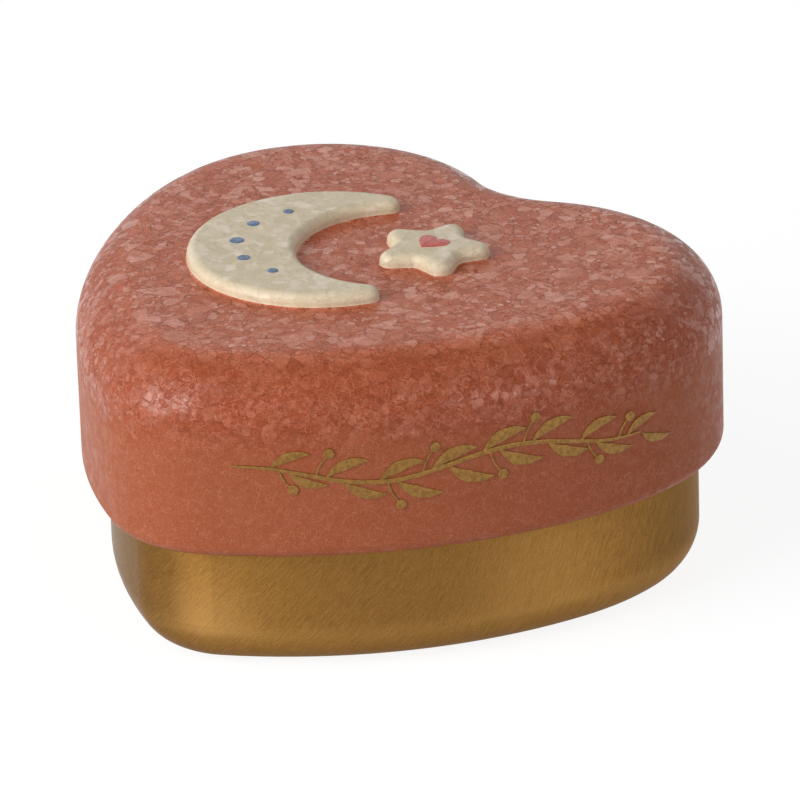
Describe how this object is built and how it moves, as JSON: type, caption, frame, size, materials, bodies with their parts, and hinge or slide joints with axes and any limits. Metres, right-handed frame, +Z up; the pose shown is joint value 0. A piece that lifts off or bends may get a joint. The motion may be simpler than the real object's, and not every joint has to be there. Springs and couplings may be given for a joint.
{
  "type": "heart-shaped keepsake tin",
  "caption": "Small heart-shaped keepsake tin with a deep rounded slip-over cap, pressed moon and star on top, and a drawn base pan with a recessed floor.",
  "frame": {"origin": "on the ground, under the middle of the closed tin's outline", "axes": "+Z up, the way the cap lifts off; the heart's notch faces +Y and its tip -Y; X runs across the lobes"},
  "size_m": [0.065, 0.0606, 0.0338],
  "materials": {
    "coral_lacquer": "crystallised coral lacquer, satin",
    "gold_lacquer": "brushed tinplate under a satin gold lacquer",
    "cream_enamel": "cream printed enamel, satin",
    "gold_ink": "gold printing ink, satin",
    "blue_enamel": "blue printed enamel, satin",
    "red_enamel": "red printed enamel, satin"
  },
  "bodies": {
    "base": {"base": "gold_lacquer"},
    "cap": {"cap": "coral_lacquer"}
  },
  "joints": [
    {"name": "cap_lift", "type": "slide", "parent": "base", "child": "cap", "axis": [0, 0, 1], "range_m": [0, 0.045]}
  ]
}
